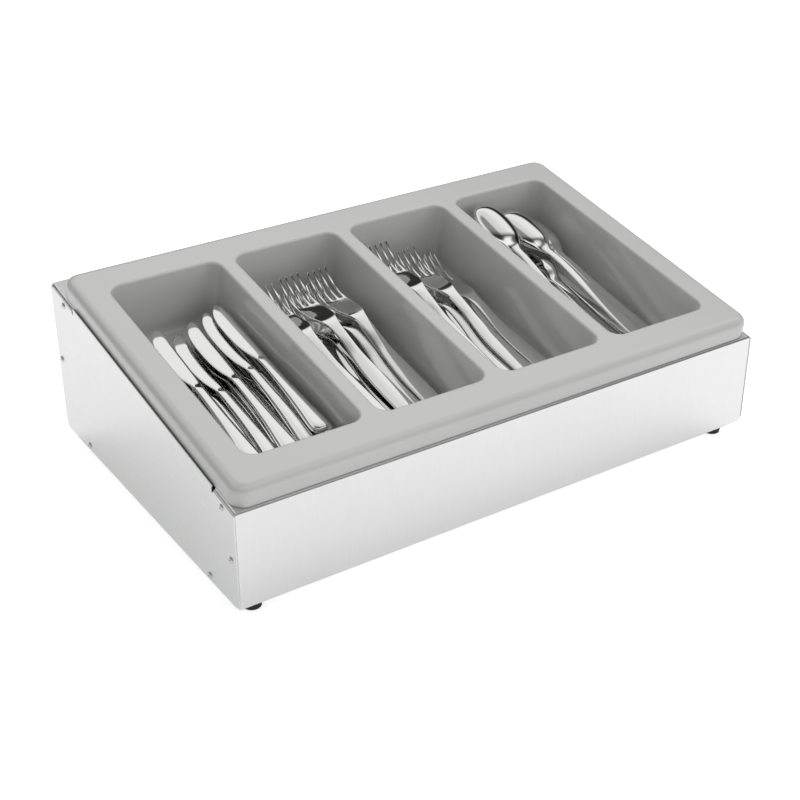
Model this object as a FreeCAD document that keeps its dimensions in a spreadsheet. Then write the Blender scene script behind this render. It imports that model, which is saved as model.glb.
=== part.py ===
"""Countertop cutlery dispenser: a folded stainless stand, a moulded tray with four pockets, and loose cutlery.

Frame: X runs along the front, Y from front to back, Z up. The origin lies on the floor, under the middle
of the stand. The stand's top slopes up to the back, and the tray and the cutlery lie square to that slope.
"""
import FreeCAD, Part
import os
import re
from math import radians

import Sketcher
from FreeCAD import Placement, Rotation, Vector

SIZES = {
    # stand, folded from sheet
    "stand_width": 535, "stand_depth": 342, "front_height": 90, "back_height": 148, "sheet_metal": 1.0,
    "front_flange": 33.5, "back_flange": 48, "ear_drop": 14, "side_return": 16, "base_return": 32,
    "front_bend": 2, "ear_bend": 2.2, "panel_setback": 0.4, "panel_corner": 6.5, "panel_lip": 1.5,
    "panel_drop": 2.2, "relief_width": 2.0, "relief_drop": 4.4,
    "base_edge_height": 10, "fit_gap": 0.3,
    # rivets through the side panels, and where they sit
    "rivet_shank": 1.6, "rivet_head": 3.0, "rivet_head_height": 1.3, "rivet_bulb": 2.2, "rivet_bulb_length": 4,
    "rivet_clearance": 0.05, "mandrel_radius": 0.75, "mandrel_depth": 0.7,
    "top_rivet_drop": 7.1, "front_top_rivet": 19.7, "back_top_rivet": 28, "front_side_rivet": 8.8,
    "front_side_rivet_height": 43.7, "back_side_rivet": 8.2, "back_side_rivet_height": 74,
    "base_rivet_height": 5.3, "front_base_rivet": 48.9, "back_base_rivet": 54,
    # feet
    "foot_height": 12.5, "foot_radius": 9.5, "foot_toe_radius": 7.8, "foot_inset_x": 20, "foot_inset_y": 18,
    "foot_recess": 6, "screw_radius": 2, "screw_head": 4, "screw_head_height": 2.6, "screw_clearance": 0.2,
    "nut_width": 7, "nut_height": 3.2, "screw_end": 1.5,
    # moulded tray
    "tray_side_gap": 2.5, "tray_back_gap": 19.58, "tray_height": 65, "rim_height": 18.7, "tray_wall": 2.5,
    "tray_inset": 2.3, "seat_gap": 0.3, "rim_radius": 8, "rim_corner": 14, "pocket_side_land": 27.65,
    "pocket_web": 15.3, "pocket_setback": 34.2, "pocket_back_land": 35.3, "pocket_corner": 12,
    "pocket_count": 4, "pocket_draft": 3, "pocket_fillet": 8, "pocket_edge": 2.5,
    # cutlery
    "knife_length": 198, "blade_length": 90, "blade_width": 16, "blade_thickness": 1.8, "knife_neck": 8,
    "knife_handle": 17, "knife_grip": 85, "knife_waist": 0.7, "knife_thickness": 7.5, "knife_edge": 2.6,
    "knife_neck_height": 5.8,
    "bolster_length": 6,
    "fork_length": 205, "fork_handle": 17, "fork_grip": 60, "fork_neck": 10, "fork_head": 23,
    "fork_palm": 22, "fork_shoulder": 21, "tine_length": 36, "tine_width": 2.7, "tine_count": 4,
    "tine_tip": 1.2, "fork_thickness": 2.5, "fork_arch": 9, "tine_rise": 13,
    "spoon_length": 196, "spoon_handle": 16, "spoon_neck": 7, "bowl_length": 62, "bowl_crown": 27, "bowl_width": 36,
    "bowl_height": 11, "spoon_thickness": 2.4, "bowl_wall": 1.8, "spoon_arch": 3,
}

doc = FreeCAD.newDocument("cutlery_dispenser")
sheet = doc.addObject("Spreadsheet::Sheet", "Sizes")
for row, (alias, value) in enumerate(SIZES.items(), start=1):
    sheet.set(f"A{row}", alias)
    sheet.set(f"B{row}", str(value))
    sheet.setAlias(f"B{row}", alias)
doc.recompute()

SLOPE = "atan((back_height - front_height) / stand_depth)"
SLOPE_LENGTH = f"(stand_depth / cos({SLOPE}))"
DECK = "(seat_gap + rim_height)"                    # the tray's top face, above the flanges
FLOOR = f"({DECK} - tray_height + tray_wall)"       # the pockets' floor, above the flanges
TRAY_WIDTH = "(stand_width - 2 * tray_side_gap)"
TRAY_DEPTH = f"({SLOPE_LENGTH} - tray_inset - tray_back_gap)"
POCKET_WIDTH = f"(({TRAY_WIDTH} - 2 * pocket_side_land - (pocket_count - 1) * pocket_web) / pocket_count)"
POCKET_LENGTH = f"({TRAY_DEPTH} - pocket_setback - pocket_back_land)"
PITCH = f"({POCKET_WIDTH} + pocket_web)"            # from one pocket to the next
INNER_HALF = "(stand_width / 2 - sheet_metal)"      # from the middle to the side panels' inner faces
parts = []


def sized(text):
    """Point the size names in an expression at the spreadsheet."""
    return re.sub(r"[a-z_]+", lambda word: "Sizes." + word[0] if word[0] in SIZES else word[0], str(text))


def number(text):
    """The value of an expression in the sheet's sizes, in millimetres or degrees."""
    result = probe.evalExpression(sized(text))
    return float(getattr(result, "Value", result))


def bind(item, **expressions):
    """Tie properties of a document object to expressions in the sheet's sizes."""
    for name, text in expressions.items():
        item.setExpression(name, sized(text))


probe = doc.addObject("App::FeaturePython", "Probe")


def finish(item, label):
    """Name a sub-part and put it on the list of those that are written."""
    item.Label = label
    parts.append(item)
    return item


def on_slope(along, above):
    """Y and Z of a point that lies so far up the slope from the front edge and so far above the flanges."""
    y = f"({along}) * cos({SLOPE}) - ({above}) * sin({SLOPE}) - stand_depth / 2"
    z = f"({along}) * sin({SLOPE}) + ({above}) * cos({SLOPE}) + foot_height + front_height"
    return y, z


def under_slope(y, below):
    """Y and Z of a point at a given distance from the front and so far below the flanges' top face."""
    height = f"foot_height + front_height + ({y}) * tan({SLOPE}) - ({below}) / cos({SLOPE})"
    return f"({y}) - stand_depth / 2", height


# ---------------------------------------------------------------- sketches and features

def new_sketch(body, plane, raised="0"):
    """A sketch on one of the body's own origin planes, moved along that plane's normal."""
    drawing = body.newObject("Sketcher::SketchObject", "Sketch")
    origin_plane = next(item for item in body.Origin.OriginFeatures if item.Role == plane)
    drawing.AttachmentSupport = (origin_plane, [""])
    drawing.MapMode = "FlatFace"
    drawing.setExpression(".AttachmentOffset.Base.z", sized(raised))
    return drawing


def pin(drawing, geometry, vertex, x, y):
    """Fix a vertex of a sketch by two expressions."""
    for kind, text in (("DistanceX", x), ("DistanceY", y)):
        index = drawing.addConstraint(Sketcher.Constraint(kind, -1, 1, geometry, vertex, number(text)))
        drawing.setExpression(f"Constraints[{index}]", sized(text))


def arc_through(start, middle, end):
    """The arc from one point through a second to a third, and whether it runs clockwise."""
    clockwise = (middle - start).cross(end - middle).z < 0
    first, last = (end, start) if clockwise else (start, end)
    return Part.Arc(first, middle, last), clockwise


def add_outline(drawing, points):
    """A closed outline. Its corners are pairs of expressions, and a third item is a point on an arc to the next."""
    corners = [Vector(number(point[0]), number(point[1]), 0) for point in points]
    ends = []
    for index, point in enumerate(points):
        start, end = corners[index], corners[(index + 1) % len(corners)]
        if len(point) == 2:
            ends.append((drawing.addGeometry(Part.LineSegment(start, end), False), 1, 2))
            continue
        middle = Vector(number(point[2][0]), number(point[2][1]), 0)
        arc, clockwise = arc_through(start, middle, end)
        curve = drawing.addGeometry(arc, False)
        guide = drawing.addGeometry(Part.Point(middle), True)
        pin(drawing, guide, 1, *point[2])
        drawing.addConstraint(Sketcher.Constraint("PointOnObject", guide, 1, curve))
        ends.append((curve, 2, 1) if clockwise else (curve, 1, 2))
    for index, point in enumerate(points):
        (curve, start, end), following = ends[index], ends[(index + 1) % len(ends)]
        drawing.addConstraint(Sketcher.Constraint("Coincident", curve, end, following[0], following[1]))
        pin(drawing, curve, start, point[0], point[1])


def add_circle(drawing, x, y, radius):
    """A circle whose centre and radius are expressions."""
    centre = Vector(number(x), number(y), 0)
    index = drawing.addGeometry(Part.Circle(centre, Vector(0, 0, 1), number(radius)), False)
    pin(drawing, index, 3, x, y)
    size = drawing.addConstraint(Sketcher.Constraint("Radius", index, number(radius)))
    drawing.setExpression(f"Constraints[{size}]", sized(radius))


def add_rounded_rectangle(drawing, x, y, width, depth, radius):
    """A rectangle with round corners, from its centre x, its front edge y and its size."""
    left, right = f"({x}) - ({width}) / 2", f"({x}) + ({width}) / 2"
    front, back = y, f"({y}) + ({depth})"
    x0, x1, y0, y1, r = (number(text) for text in (left, right, front, back, radius))
    sides = [(Vector(x0 + r, y0, 0), Vector(x1 - r, y0, 0)), (Vector(x1, y0 + r, 0), Vector(x1, y1 - r, 0)),
             (Vector(x1 - r, y1, 0), Vector(x0 + r, y1, 0)), (Vector(x0, y1 - r, 0), Vector(x0, y0 + r, 0))]
    centres = [(x1 - r, y0 + r), (x1 - r, y1 - r), (x0 + r, y1 - r), (x0 + r, y0 + r)]
    for index, (start, end) in enumerate(sides):
        drawing.addGeometry(Part.LineSegment(start, end), False)
        circle = Part.Circle(Vector(*centres[index], 0), Vector(0, 0, 1), r)
        turn = radians(-90 + 90 * index)
        drawing.addGeometry(Part.ArcOfCircle(circle, turn, turn + radians(90)), False)
    for index in range(4):
        line, arc, following = 2 * index, 2 * index + 1, (2 * index + 2) % 8
        drawing.addConstraint(Sketcher.Constraint("Tangent", line, 2, arc, 1))
        drawing.addConstraint(Sketcher.Constraint("Tangent", arc, 2, following, 1))
        drawing.addConstraint(Sketcher.Constraint("Horizontal" if index % 2 == 0 else "Vertical", line))
        if index:
            drawing.addConstraint(Sketcher.Constraint("Equal", 1, arc))
    for kind, line, text in (("DistanceY", 0, front), ("DistanceX", 2, right),
                             ("DistanceY", 4, back), ("DistanceX", 6, left)):
        index = drawing.addConstraint(Sketcher.Constraint(kind, -1, 1, line, 1, number(text)))
        drawing.setExpression(f"Constraints[{index}]", sized(text))
    size = drawing.addConstraint(Sketcher.Constraint("Radius", 1, r))
    drawing.setExpression(f"Constraints[{size}]", sized(radius))


def pad(body, drawing, length, symmetric=False):
    """Extrude a sketch along its normal, or evenly to both sides of it."""
    feature = body.newObject("PartDesign::Pad", "Pad")
    feature.Profile = drawing
    feature.SideType = "Symmetric" if symmetric else "One side"
    bind(feature, Length=length)
    return feature


def pocket(body, drawing, length, symmetric=False, reverse=False):
    """Cut a sketch out of the body, against its normal or evenly to both sides of it."""
    doc.recompute()
    before = body.Shape.Volume
    feature = body.newObject("PartDesign::Pocket", "Pocket")
    feature.Profile = drawing
    feature.SideType = "Symmetric" if symmetric else "One side"
    feature.Reversed = reverse
    bind(feature, Length=length)
    doc.recompute()
    if body.Shape.Volume >= before:
        raise RuntimeError(f"{body.Name}: the pocket removes nothing")
    return feature


def fillet(body, radius, wanted):
    """Round the edges of the body's last feature that the test picks."""
    doc.recompute()
    base = body.Tip
    names = [f"Edge{index}" for index, edge in enumerate(base.Shape.Edges, start=1) if wanted(edge)]
    if not names:
        raise RuntimeError(f"{body.Name}: no edge to round")
    feature = body.newObject("PartDesign::Fillet", "Fillet")
    feature.Base = (base, names)
    bind(feature, Radius=radius)
    return feature


def along(edge, axis):
    """Whether an edge is straight and parallel to an axis."""
    if not isinstance(edge.Curve, Part.Line):
        return False
    return abs(abs(edge.Curve.Direction.dot(axis)) - 1) < 1e-6


def near(value, text):
    """Whether a coordinate equals an expression."""
    return abs(value - number(text)) < 1e-4


# ---------------------------------------------------------------- stand

def rivet_places():
    """Y and Z of the six rivets that each side panel takes."""
    return [under_slope("front_top_rivet", "top_rivet_drop"),
            under_slope("stand_depth - back_top_rivet", "top_rivet_drop"),
            ("front_side_rivet - stand_depth / 2", "front_side_rivet_height + foot_height"),
            ("stand_depth / 2 - back_side_rivet", "back_side_rivet_height + foot_height"),
            ("front_base_rivet - stand_depth / 2", "base_rivet_height + foot_height"),
            ("stand_depth / 2 - back_base_rivet", "base_rivet_height + foot_height")]


def foot_places():
    """X and Y of the four feet, with the names of their corners."""
    half_x, half_y = "(stand_width / 2 - foot_inset_x)", "(stand_depth / 2 - foot_inset_y)"
    return [(f"{end}_{side}", f"{x} * {half_x}", f"{y} * {half_y}")
            for end, y in (("front", -1), ("back", 1)) for side, x in (("left", -1), ("right", 1))]


def drill_for_rivets(body, reach_front, reach_back):
    """Holes for the rivets whose distance from the front lies in a stretch, through the whole width."""
    drawing = new_sketch(body, "YZ_Plane")
    low, high = number(f"{reach_front} - stand_depth / 2"), number(f"{reach_back} - stand_depth / 2")
    for y, z in rivet_places():
        if low < number(y) < high:
            add_circle(drawing, y, z, "rivet_shank + rivet_clearance")
    pocket(body, drawing, "stand_width * 2", symmetric=True)


def drill_for_feet(body, half):
    """Holes for the foot screws at the front (-1), the back (1) or both (0)."""
    drawing = new_sketch(body, "XY_Plane")
    for _, x, y in foot_places():
        if number(y) * half >= 0:
            add_circle(drawing, x, y, "screw_radius + screw_clearance")
    pocket(body, drawing, "(foot_height + 3 * sheet_metal) * 2", symmetric=True)


def side_panel(side, label):
    """A flat panel whose top edge drops at both ends, where the flanges' ears bend down behind it."""
    body = doc.addObject("PartDesign::Body", "SidePanel")
    drawing = new_sketch(body, "YZ_Plane", f"{side} * (stand_width / 2 - sheet_metal / 2)")
    back_edge = f"({SLOPE_LENGTH} - back_flange)"
    setback = "panel_setback"
    add_outline(drawing, [
        (f"{setback} - stand_depth / 2", "foot_height"), (f"stand_depth / 2 - {setback}", "foot_height"),
        under_slope(f"stand_depth - {setback}", "panel_drop"),
        on_slope(back_edge, "-panel_drop"), on_slope(back_edge, "-relief_drop"),
        on_slope(f"{back_edge} - relief_width", "-relief_drop"),
        on_slope(f"{back_edge} - relief_width", "panel_lip"),
        on_slope("front_flange + relief_width", "panel_lip"),
        on_slope("front_flange + relief_width", "-relief_drop"),
        on_slope("front_flange", "-relief_drop"), on_slope("front_flange", "-panel_drop"),
        under_slope(setback, "panel_drop")])
    pad(body, drawing, "sheet_metal", symmetric=True)
    fillet(body, "panel_corner", lambda edge: along(edge, Vector(1, 0, 0))
           and near(edge.CenterOfMass.z, "foot_height"))
    drill_for_rivets(body, "0", "stand_depth")
    return finish(body, label)


def channel(body, outline, hollow):
    """Fold a sheet: the outline is its side view, and the hollow leaves its face, flanges and side returns."""
    drawing = new_sketch(body, "YZ_Plane")
    add_outline(drawing, outline)
    pad(body, drawing, f"{INNER_HALF} * 2", symmetric=True)
    drawing = new_sketch(body, "YZ_Plane")
    add_outline(drawing, hollow)
    pocket(body, drawing, f"({INNER_HALF} - sheet_metal) * 2", symmetric=True)


def round_bends(body, face_y):
    """Round the folded corners of a panel: the ears' bends, and the bends round its face."""
    def ear(edge):
        on_side = near(abs(edge.CenterOfMass.x), INNER_HALF)
        slanted = isinstance(edge.Curve, Part.Line) and abs(edge.Curve.Direction.y) > 0.5
        top = number(under_slope(f"({edge.CenterOfMass.y} + stand_depth / 2)", "0")[1])
        return on_side and slanted and abs(edge.CenterOfMass.z - top) < 1e-4

    def face(edge):
        wide = along(edge, Vector(1, 0, 0)) or along(edge, Vector(0, 0, 1))
        outside = edge.Length > number("ear_drop") and near(edge.CenterOfMass.y, face_y)
        inside = along(edge, Vector(0, 0, 1)) and not near(abs(edge.CenterOfMass.x), INNER_HALF)
        return wide and outside and not inside
    fillet(body, "ear_bend", ear)
    fillet(body, "front_bend", face)


def front_panel():
    """The front face, with the sloping flange that carries the tray's front edge."""
    body = doc.addObject("PartDesign::Body", "FrontPanel")
    front, base = "(-stand_depth / 2)", "foot_height"
    far = "(front_flange + base_return)"
    channel(body, [
        (front, base), (f"{front} + base_return", base), (f"{front} + base_return", f"{base} + sheet_metal"),
        (f"{front} + side_return", f"{base} + sheet_metal"), under_slope("side_return", "ear_drop"),
        on_slope("front_flange", "-ear_drop"), on_slope("front_flange", "0"), on_slope("0", "0")],
        [(f"{front} + sheet_metal", f"{base} + sheet_metal"), (f"{front} + {far}", f"{base} + sheet_metal"),
         under_slope(far, "sheet_metal"), under_slope("sheet_metal", "sheet_metal")])
    round_bends(body, front)
    drill_for_rivets(body, "0", "side_return * 2")
    drill_for_feet(body, -1)
    return finish(body, "front_panel")


def back_panel():
    """The back face, with the sloping flange that carries the tray's back edge."""
    body = doc.addObject("PartDesign::Body", "BackPanel")
    back, base = "(stand_depth / 2)", "foot_height"
    flange_edge = f"({SLOPE_LENGTH} - back_flange)"
    far = "(stand_depth - back_flange - base_return)"
    channel(body, [
        (back, base), on_slope(SLOPE_LENGTH, "0"), on_slope(flange_edge, "0"),
        on_slope(flange_edge, "-ear_drop"), under_slope("stand_depth - side_return", "ear_drop"),
        (f"{back} - side_return", f"{base} + sheet_metal"), (f"{back} - base_return", f"{base} + sheet_metal"),
        (f"{back} - base_return", base)],
        [(f"{back} - sheet_metal", f"{base} + sheet_metal"),
         under_slope("stand_depth - sheet_metal", "sheet_metal"), under_slope(far, "sheet_metal"),
         (f"{far} - stand_depth / 2", f"{base} + sheet_metal")])
    round_bends(body, back)
    drill_for_rivets(body, "stand_depth - side_return * 2", "stand_depth")
    drill_for_feet(body, 1)
    return finish(body, "back_panel")


def bottom_plate():
    """The floor of the stand, on the panels' base returns, with edges turned up against the side panels."""
    body = doc.addObject("PartDesign::Body", "BottomPlate")
    tongue = f"({INNER_HALF} - sheet_metal - fit_gap)"
    end = "(stand_depth / 2 - sheet_metal - fit_gap)"
    shoulder = "(stand_depth / 2 - side_return - fit_gap)"
    level = "foot_height + sheet_metal"
    drawing = new_sketch(body, "XY_Plane", level)
    outline = [(tongue, shoulder), (INNER_HALF, shoulder)]
    corners = [(tongue, end)] + outline
    quarter_turns = [(1, 1, False), (1, -1, True), (-1, -1, False), (-1, 1, True)]
    points = []
    for across, back, flipped in quarter_turns:
        ordered = reversed(corners) if flipped else corners
        points += [(f"{across} * {x}", f"{back} * {y}") for x, y in ordered]
    add_outline(drawing, points)
    pad(body, drawing, "sheet_metal")
    for side in (-1, 1):
        drawing = new_sketch(body, "XY_Plane", level)
        inner, outer = f"{side} * ({INNER_HALF} - sheet_metal)", f"{side} * {INNER_HALF}"
        add_outline(drawing, [(inner, f"-{shoulder}"), (outer, f"-{shoulder}"), (outer, shoulder),
                              (inner, shoulder)])
        pad(body, drawing, "base_edge_height")
    drill_for_rivets(body, "0", "stand_depth")
    drill_for_feet(body, 0)
    return finish(body, "bottom_plate")


def turned(label, profile):
    """A solid turned about Z from half of its section, as pairs of expressions for radius and height."""
    drawing = doc.addObject("Sketcher::SketchObject", "Profile")
    drawing.Placement = Placement(Vector(), Rotation(Vector(1, 0, 0), 90))
    add_outline(drawing, profile)
    solid = doc.addObject("Part::Revolution", label)
    solid.Source = drawing
    solid.Axis = Vector(0, 0, 1)
    solid.Angle = 360
    solid.Solid = True
    return solid


def group(label, members):
    """Separate solids that share one node."""
    compound = doc.addObject("Part::Compound", label)
    compound.Links = members
    return finish(compound, label)


def side_rivets(side, label):
    """Blind rivets: a low head outside, a shank through both sheets and a bulb inside."""
    grip = "-(2 * sheet_metal)"
    profile = [("0", "rivet_head_height - mandrel_depth"),
               ("mandrel_radius", "rivet_head_height - mandrel_depth"),
               ("mandrel_radius", "rivet_head_height"), ("rivet_head * 0.7", "rivet_head_height * 0.8"),
               ("rivet_head", "rivet_head_height * 0.3"), ("rivet_head", "0"), ("rivet_shank", "0"),
               ("rivet_shank", grip), ("rivet_bulb", grip), ("rivet_bulb", f"{grip} - rivet_bulb_length * 0.7"),
               ("rivet_shank", f"{grip} - rivet_bulb_length"), ("0", f"{grip} - rivet_bulb_length")]
    members = []
    for y, z in rivet_places():
        rivet = turned("Rivet", profile)
        rivet.Placement = Placement(Vector(), Rotation(Vector(0, 1, 0), 90 * side))
        for axis, text in (("x", f"{side} * stand_width / 2"), ("y", y), ("z", z)):
            rivet.setExpression(f".Placement.Base.{axis}", sized(text))
        members.append(rivet)
    return group(label, members)


def rubber_foot(corner, x, y):
    """A tapered foot with a recess for its screw."""
    body = turned("RubberFoot", [
        ("screw_radius + screw_clearance", "foot_height"), ("foot_radius", "foot_height"),
        ("foot_toe_radius", "0"), ("screw_head + screw_clearance * 4", "0"),
        ("screw_head + screw_clearance * 4", "foot_recess"), ("screw_radius + screw_clearance", "foot_recess")])
    for axis, text in (("x", x), ("y", y)):
        body.setExpression(f".Placement.Base.{axis}", sized(text))
    return finish(body, f"rubber_foot_{corner}")


def foot_screws():
    """Pan-head screws, from the feet's recesses up through the sheets and the nuts."""
    top = "foot_height + 2 * sheet_metal + nut_height + screw_end"
    members = []
    for _, x, y in foot_places():
        screw = turned("FootScrew", [
            ("0", "foot_recess - screw_head_height"), ("screw_head * 0.75", "foot_recess - screw_head_height"),
            ("screw_head", "foot_recess - screw_head_height * 0.6"), ("screw_head", "foot_recess"),
            ("screw_radius", "foot_recess"), ("screw_radius", top), ("0", top)])
        for axis, text in (("x", x), ("y", y)):
            screw.setExpression(f".Placement.Base.{axis}", sized(text))
        members.append(screw)
    return group("foot_screws", members)


def foot_nuts():
    """Hexagon nuts on the bottom plate."""
    members = []
    for _, x, y in foot_places():
        blank = doc.addObject("Part::Prism", "NutBlank")
        blank.Polygon = 6
        bind(blank, Circumradius="nut_width / 2 / cos(30)", Height="nut_height")
        bore = doc.addObject("Part::Cylinder", "NutBore")
        bind(bore, Radius="screw_radius + rivet_clearance", Height="nut_height")
        nut = doc.addObject("Part::Cut", "Nut")
        nut.Base, nut.Tool = blank, bore
        for axis, text in (("x", x), ("y", y), ("z", "foot_height + 2 * sheet_metal")):
            nut.setExpression(f".Placement.Base.{axis}", sized(text))
        members.append(nut)
    return group("foot_nuts", members)


# ---------------------------------------------------------------- tray

def lay_on_slope(item, across, up_slope, above, turn=0):
    """Place something square to the slope: across from the middle, up from the front edge, above the flanges."""
    base = f"placement(vector(0; -stand_depth / 2; foot_height + front_height); rotation(vector(1; 0; 0); {SLOPE}))"
    local = f"placement(vector({across}; {up_slope}; {above}); rotation(vector(0; 0; 1); {turn}))"
    item.setExpression("Placement", sized(f"{base} * {local}"))


def pocket_outline(body, level, growth):
    """The outline of the first pocket at a height in the tray's frame: drafted below the deck, plus a growth."""
    shrink = f"((rim_height - ({level})) * tan(pocket_draft) - ({growth}))"
    drawing = new_sketch(body, "XY_Plane", level)
    add_rounded_rectangle(drawing, f"-{PITCH} * (pocket_count - 1) / 2", f"pocket_setback + {shrink}",
                          f"{POCKET_WIDTH} - 2 * {shrink}", f"{POCKET_LENGTH} - 2 * {shrink}",
                          f"pocket_corner - {shrink}")
    return drawing


def repeat_pocket(body, feature):
    """Repeat the first pocket's feature across the tray."""
    doc.recompute()
    pattern = body.newObject("PartDesign::LinearPattern", "PocketPattern")
    pattern.Originals = [feature]
    pattern.Direction = (feature.Profile[0], ["H_Axis"])
    bind(pattern, Length=f"{PITCH} * (pocket_count - 1)", Occurrences="pocket_count")
    body.Tip = pattern
    doc.recompute()


def cutlery_tray():
    """The moulded tray: a hollow rim round a deck, and drafted pockets that hang below it."""
    body = doc.addObject("PartDesign::Body", "CutleryTray")
    drawing = new_sketch(body, "XY_Plane")
    add_rounded_rectangle(drawing, "0", "0", TRAY_WIDTH, TRAY_DEPTH, "rim_corner")
    pad(body, drawing, "rim_height")
    fillet(body, "rim_radius", lambda edge: near(edge.BoundBox.ZMin, "rim_height"))
    drawing = new_sketch(body, "XY_Plane")
    add_rounded_rectangle(drawing, "0", "tray_wall", f"{TRAY_WIDTH} - 2 * tray_wall",
                          f"{TRAY_DEPTH} - 2 * tray_wall", "rim_corner - tray_wall")
    pocket(body, drawing, "rim_height - tray_wall", reverse=True)
    fillet(body, "rim_radius - tray_wall", lambda edge: near(edge.BoundBox.ZMin, "rim_height - tray_wall")
           and near(edge.BoundBox.ZMax, "rim_height - tray_wall"))
    bottom = "rim_height - tray_height"
    shell = pad(body, pocket_outline(body, "rim_height - tray_wall / 2", "tray_wall"),
                "tray_height - tray_wall / 2")
    shell.Reversed = True
    bind(shell, TaperAngle="-pocket_draft")
    repeat_pocket(body, shell)
    hollow = pocket(body, pocket_outline(body, "rim_height", "0"), "tray_height - tray_wall")
    bind(hollow, TaperAngle="-pocket_draft")
    repeat_pocket(body, hollow)
    floor = f"{bottom} + tray_wall"
    fillet(body, "pocket_fillet", lambda edge: near(edge.BoundBox.ZMin, floor) and near(edge.BoundBox.ZMax, floor))
    fillet(body, "pocket_fillet + tray_wall", lambda edge: near(edge.BoundBox.ZMax, bottom))
    margin = number("rim_radius + 1")
    width, depth = number(f"{TRAY_WIDTH} / 2") - margin, number(TRAY_DEPTH) - margin
    fillet(body, "pocket_edge", lambda edge: near(edge.CenterOfMass.z, "rim_height")
           and abs(edge.CenterOfMass.x) < width and margin < edge.CenterOfMass.y < depth)
    lay_on_slope(body, "0", "tray_inset", "seat_gap")
    return finish(body, "cutlery_tray")


# ---------------------------------------------------------------- cutlery

def outline_sketch(plane, points):
    """A free sketch on the XY or the XZ plane."""
    drawing = doc.addObject("Sketcher::SketchObject", "Outline")
    if plane == "XZ":
        drawing.Placement = Placement(Vector(), Rotation(Vector(1, 0, 0), 90))
    add_outline(drawing, points)
    return drawing


def extrusion(drawing, direction, length):
    """A free sketch extruded evenly to both sides."""
    solid = doc.addObject("Part::Extrusion", "Extrusion")
    solid.Base = drawing
    solid.DirMode = "Custom"
    solid.Dir = direction
    solid.Solid = True
    solid.Symmetric = True
    bind(solid, LengthFwd=length)
    return solid


def place_piece(item, column, across, up_slope, above, turn, pitch=0, roll=0):
    """Lay a piece whose length is its X axis into a pocket, turned, tilted and rolled about its handle's end.

    That end lies so far across from the pocket's middle, up from its front edge and above its floor.
    """
    x = f"({column} - (pocket_count - 1) / 2) * {PITCH} + ({across})"
    y = f"tray_inset + pocket_setback + ({up_slope})"
    base = f"placement(vector(0; -stand_depth / 2; foot_height + front_height); rotation(vector(1; 0; 0); {SLOPE}))"
    local = f"placement(vector({x}; {y}; {FLOOR} + {above}); rotation(vector(0; 0; 1); 90 + {turn}))"
    tilt = f"placement(vector(0; 0; 0); rotation(vector(0; 1; 0); -({pitch})))"
    lean = f"placement(vector(0; 0; 0); rotation(vector(1; 0; 0); {roll}))"
    item.setExpression("Placement", sized(f"{base} * {local} * {tilt} * {lean}"))


def knife(label, column, across, up_slope, layer, turn, pitch=0):
    """A table knife that lies flat: a round-edged handle, a bolster and a curved blade with a straight back."""
    body = doc.addObject("PartDesign::Body", "Knife")
    neck, half = "knife_neck / 2", "knife_handle / 2"
    shoulder, tip = "(knife_length - blade_length)", "knife_length"
    waist = f"({half} + {neck}) / 2 - knife_waist"
    middle = f"({half} + knife_grip) / 2"
    drawing = new_sketch(body, "XY_Plane")
    add_outline(drawing, [
        (half, f"-{half}", (middle, f"-({waist})")), ("knife_grip", f"-{neck}"), (shoulder, f"-{neck}"),
        (shoulder, neck), ("knife_grip", neck, (middle, waist)), (half, half, ("0", "0"))])
    pad(body, drawing, "knife_thickness", symmetric=True)
    wedges = new_sketch(body, "XZ_Plane")
    full, slim = "knife_thickness / 2", "knife_neck_height / 2"
    for side in ("", "-"):
        add_outline(wedges, [("knife_handle", f"{side}{full}"), (f"{shoulder} + 1", f"{side}{full}"),
                             (f"{shoulder} + 1", f"{side}{slim}")])
    pocket(body, wedges, "knife_handle * 2", symmetric=True)
    fillet(body, "knife_edge", lambda edge: not along(edge, Vector(0, 0, 1)) and not along(edge, Vector(0, 1, 0))
           and abs(edge.CenterOfMass.z) > number("knife_neck_height / 4"))
    sections = []
    for x, width, height, radius in (
            (f"{shoulder} - knife_edge / 2", "knife_neck * 0.8", "knife_neck_height * 0.8", "knife_edge / 2"),
            (f"{shoulder} + bolster_length", "knife_neck * 0.9", "blade_thickness", "blade_thickness * 0.4")):
        section = new_sketch(body, "YZ_Plane", x)
        add_rounded_rectangle(section, "0", f"-({height}) / 2", width, height, radius)
        sections.append(section)
    bolster = body.newObject("PartDesign::AdditiveLoft", "Bolster")
    bolster.Profile = sections[0]
    bolster.Sections = sections[1:]
    bolster.Ruled = True
    drawing = new_sketch(body, "XY_Plane")
    back = f"-{neck}"
    add_outline(drawing, [
        (f"{shoulder} - knife_edge / 2", f"{back} * 0.9"), (shoulder, f"{back} * 0.9"),
        (f"{shoulder} + bolster_length", back),
        (f"{tip} - blade_width * 0.3", back, (tip, f"{back} + blade_width * 0.26")),
        (f"{tip} - blade_width * 0.45", f"{back} + blade_width * 0.62",
         (f"{tip} - blade_length * 0.4", f"{back} + blade_width")),
        (f"{shoulder} + blade_length * 0.27", f"{back} + blade_width * 0.87",
         (f"{shoulder} + blade_length * 0.13", f"{back} + blade_width * 0.68")),
        (f"{shoulder} + knife_edge / 2", f"{neck} * 0.9"), (f"{shoulder} - knife_edge / 2", f"{neck} * 0.9")])
    pad(body, drawing, "blade_thickness", symmetric=True)
    above = f"fit_gap + knife_thickness / 2 + {layer} * (knife_thickness + fit_gap)"
    place_piece(body, column, across, up_slope, above, turn, pitch)
    return finish(body, label)


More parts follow.
